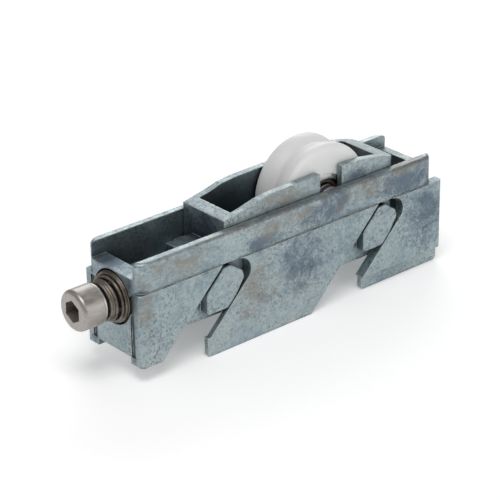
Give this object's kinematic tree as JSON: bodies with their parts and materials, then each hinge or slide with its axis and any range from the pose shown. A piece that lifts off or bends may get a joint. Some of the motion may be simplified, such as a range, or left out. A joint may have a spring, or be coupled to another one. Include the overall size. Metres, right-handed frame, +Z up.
{
  "type": "sliding door roller",
  "caption": "Height-adjustable sliding door roller: grooved nylon wheel in a carriage that a socket screw drives up two ramps in a zinc housing.",
  "frame": {"origin": "on the base plane, at the housing's screw end face, on the middle plane", "axes": "+X along the housing away from the screw head, +Y across it, +Z up towards the wheel"},
  "size_m": [0.1095, 0.021, 0.0409],
  "materials": {
    "zinc_housing": "blue zinc plated die casting, semi matte",
    "zinc_carriage": "blue zinc plated die casting, satin",
    "stainless_screw": "satin stainless steel",
    "plated_steel": "zinc plated steel",
    "spring_steel": "oiled spring wire",
    "hardened_steel": "ground, hardened",
    "bearing_steel": "ground bearing steel",
    "cage_nylon": "dark moulded nylon",
    "wheel_nylon": "natural white acetal, smooth"
  },
  "bodies": {
    "housing": {"housing": "zinc_housing", "threaded_insert": "plated_steel", "conical_spring": "spring_steel"},
    "screw_washer": {"thrust_washer": "plated_steel"},
    "screw": {"adjusting_screw": "stainless_screw"},
    "carriage": {"carriage": "zinc_carriage", "thrust_plate": "hardened_steel", "axle_pin": "hardened_steel", "axle_collar": "hardened_steel", "inner_spacer": "plated_steel", "inner_ring_near": "bearing_steel", "inner_ring_far": "bearing_steel"},
    "bearing_balls": {"ball_set_near": "bearing_steel", "ball_set_far": "bearing_steel", "ball_cage_near": "cage_nylon", "ball_cage_far": "cage_nylon"},
    "wheel": {"wheel": "wheel_nylon", "outer_ring_near": "bearing_steel", "outer_ring_far": "bearing_steel"}
  },
  "joints": [
    {"name": "carriage_slide", "type": "slide", "parent": "housing", "child": "carriage", "axis": [0.7071, 0, 0.7071], "range_m": [-0.00707, 0.0005]},
    {"name": "washer_slide", "type": "slide", "parent": "housing", "child": "screw_washer", "axis": [1, 0, 0], "range_m": [-0.00505, 0.0004], "deforming": ["conical_spring"]},
    {"name": "screw_turn", "type": "hinge", "parent": "screw_washer", "child": "screw", "pos_m": [0, 0, 0.0192], "axis": [1, 0, 0], "range_deg": [-1810, 135]},
    {"name": "wheel_spin", "type": "hinge", "parent": "carriage", "child": "wheel", "pos_m": [0.062, 0, 0.0269], "axis": [0, 1, 0], "continuous": true},
    {"name": "balls_orbit", "type": "hinge", "parent": "carriage", "child": "bearing_balls", "pos_m": [0.062, 0, 0.0269], "axis": [0, 1, 0], "continuous": true}
  ],
  "couplings": [
    {"joint": "washer_slide", "follows": "carriage_slide", "ratio": 0.70711},
    {"joint": "screw_turn", "follows": "carriage_slide", "rad_per_m": 4442.9},
    {"joint": "balls_orbit", "follows": "wheel_spin", "ratio": 0.6067}
  ]
}
